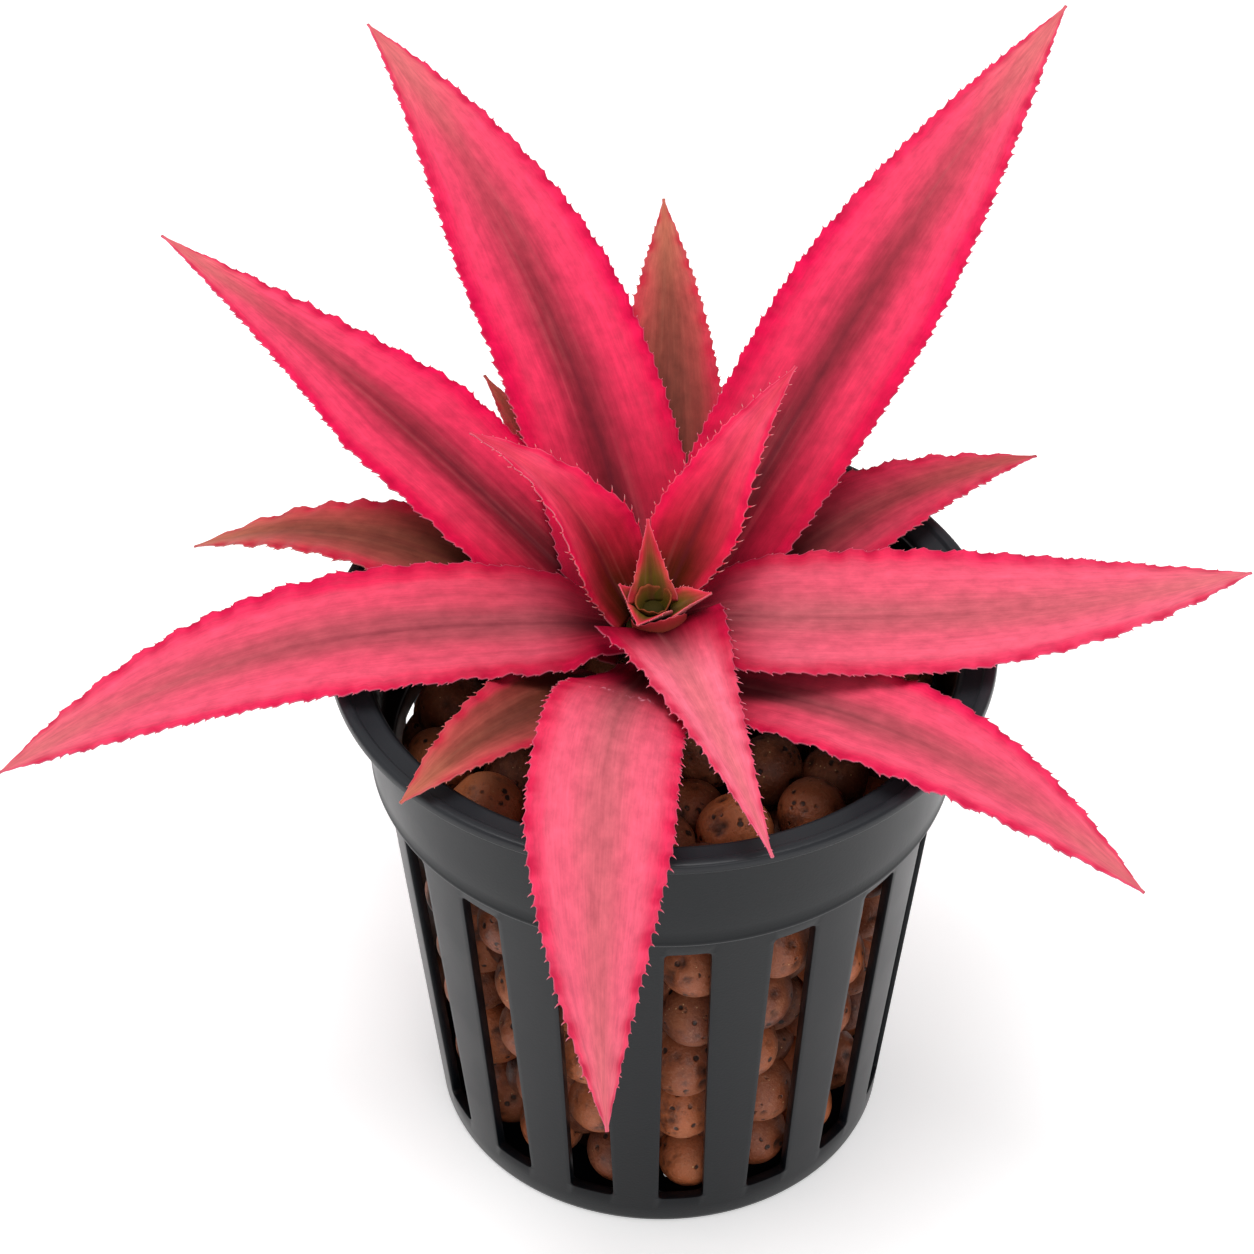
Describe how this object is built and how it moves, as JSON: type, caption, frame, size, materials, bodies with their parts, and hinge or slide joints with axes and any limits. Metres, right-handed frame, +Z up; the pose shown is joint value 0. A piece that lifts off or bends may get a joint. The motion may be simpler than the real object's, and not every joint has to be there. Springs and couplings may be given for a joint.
{
  "type": "potted earth star bromeliad",
  "caption": "Rosette of long, wavy, spine-edged pink leaves on a short stem, standing in clay pebbles in a round black slotted net pot.",
  "frame": {"origin": "centre of the pot's flat underside", "axes": "+Z up along the pot's axis, -Y towards the front, where the hanging leaf points"},
  "size_m": [0.1834, 0.1841, 0.1322],
  "materials": {
    "pot_plastic": "satin",
    "fired_clay": "matte",
    "stem": "matte",
    "leaf_pink": "satin",
    "leaf_olive": "satin",
    "leaf_heart": "satin"
  },
  "bodies": {
    "root": {"net_pot": "pot_plastic", "clay_pebbles": "fired_clay", "stem": "stem", "leaf_back_stub": "leaf_olive", "leaf_front_left_short": "leaf_olive", "leaf_back": "leaf_olive", "leaf_left_short": "leaf_olive", "leaf_right_short": "leaf_olive", "leaf_front_right": "leaf_pink", "leaf_left_rear": "leaf_pink", "leaf_front_hanging": "leaf_pink", "leaf_rear_left_tall": "leaf_pink", "leaf_rear_right_tall": "leaf_pink", "leaf_left_long": "leaf_pink", "leaf_right_long": "leaf_pink", "leaf_front_short": "leaf_pink", "leaf_inner_left": "leaf_pink", "leaf_inner_right": "leaf_pink", "leaf_heart_front": "leaf_heart", "leaf_heart_right": "leaf_heart", "leaf_heart_left": "leaf_heart", "leaf_heart_back": "leaf_heart"}
  },
  "joints": []
}
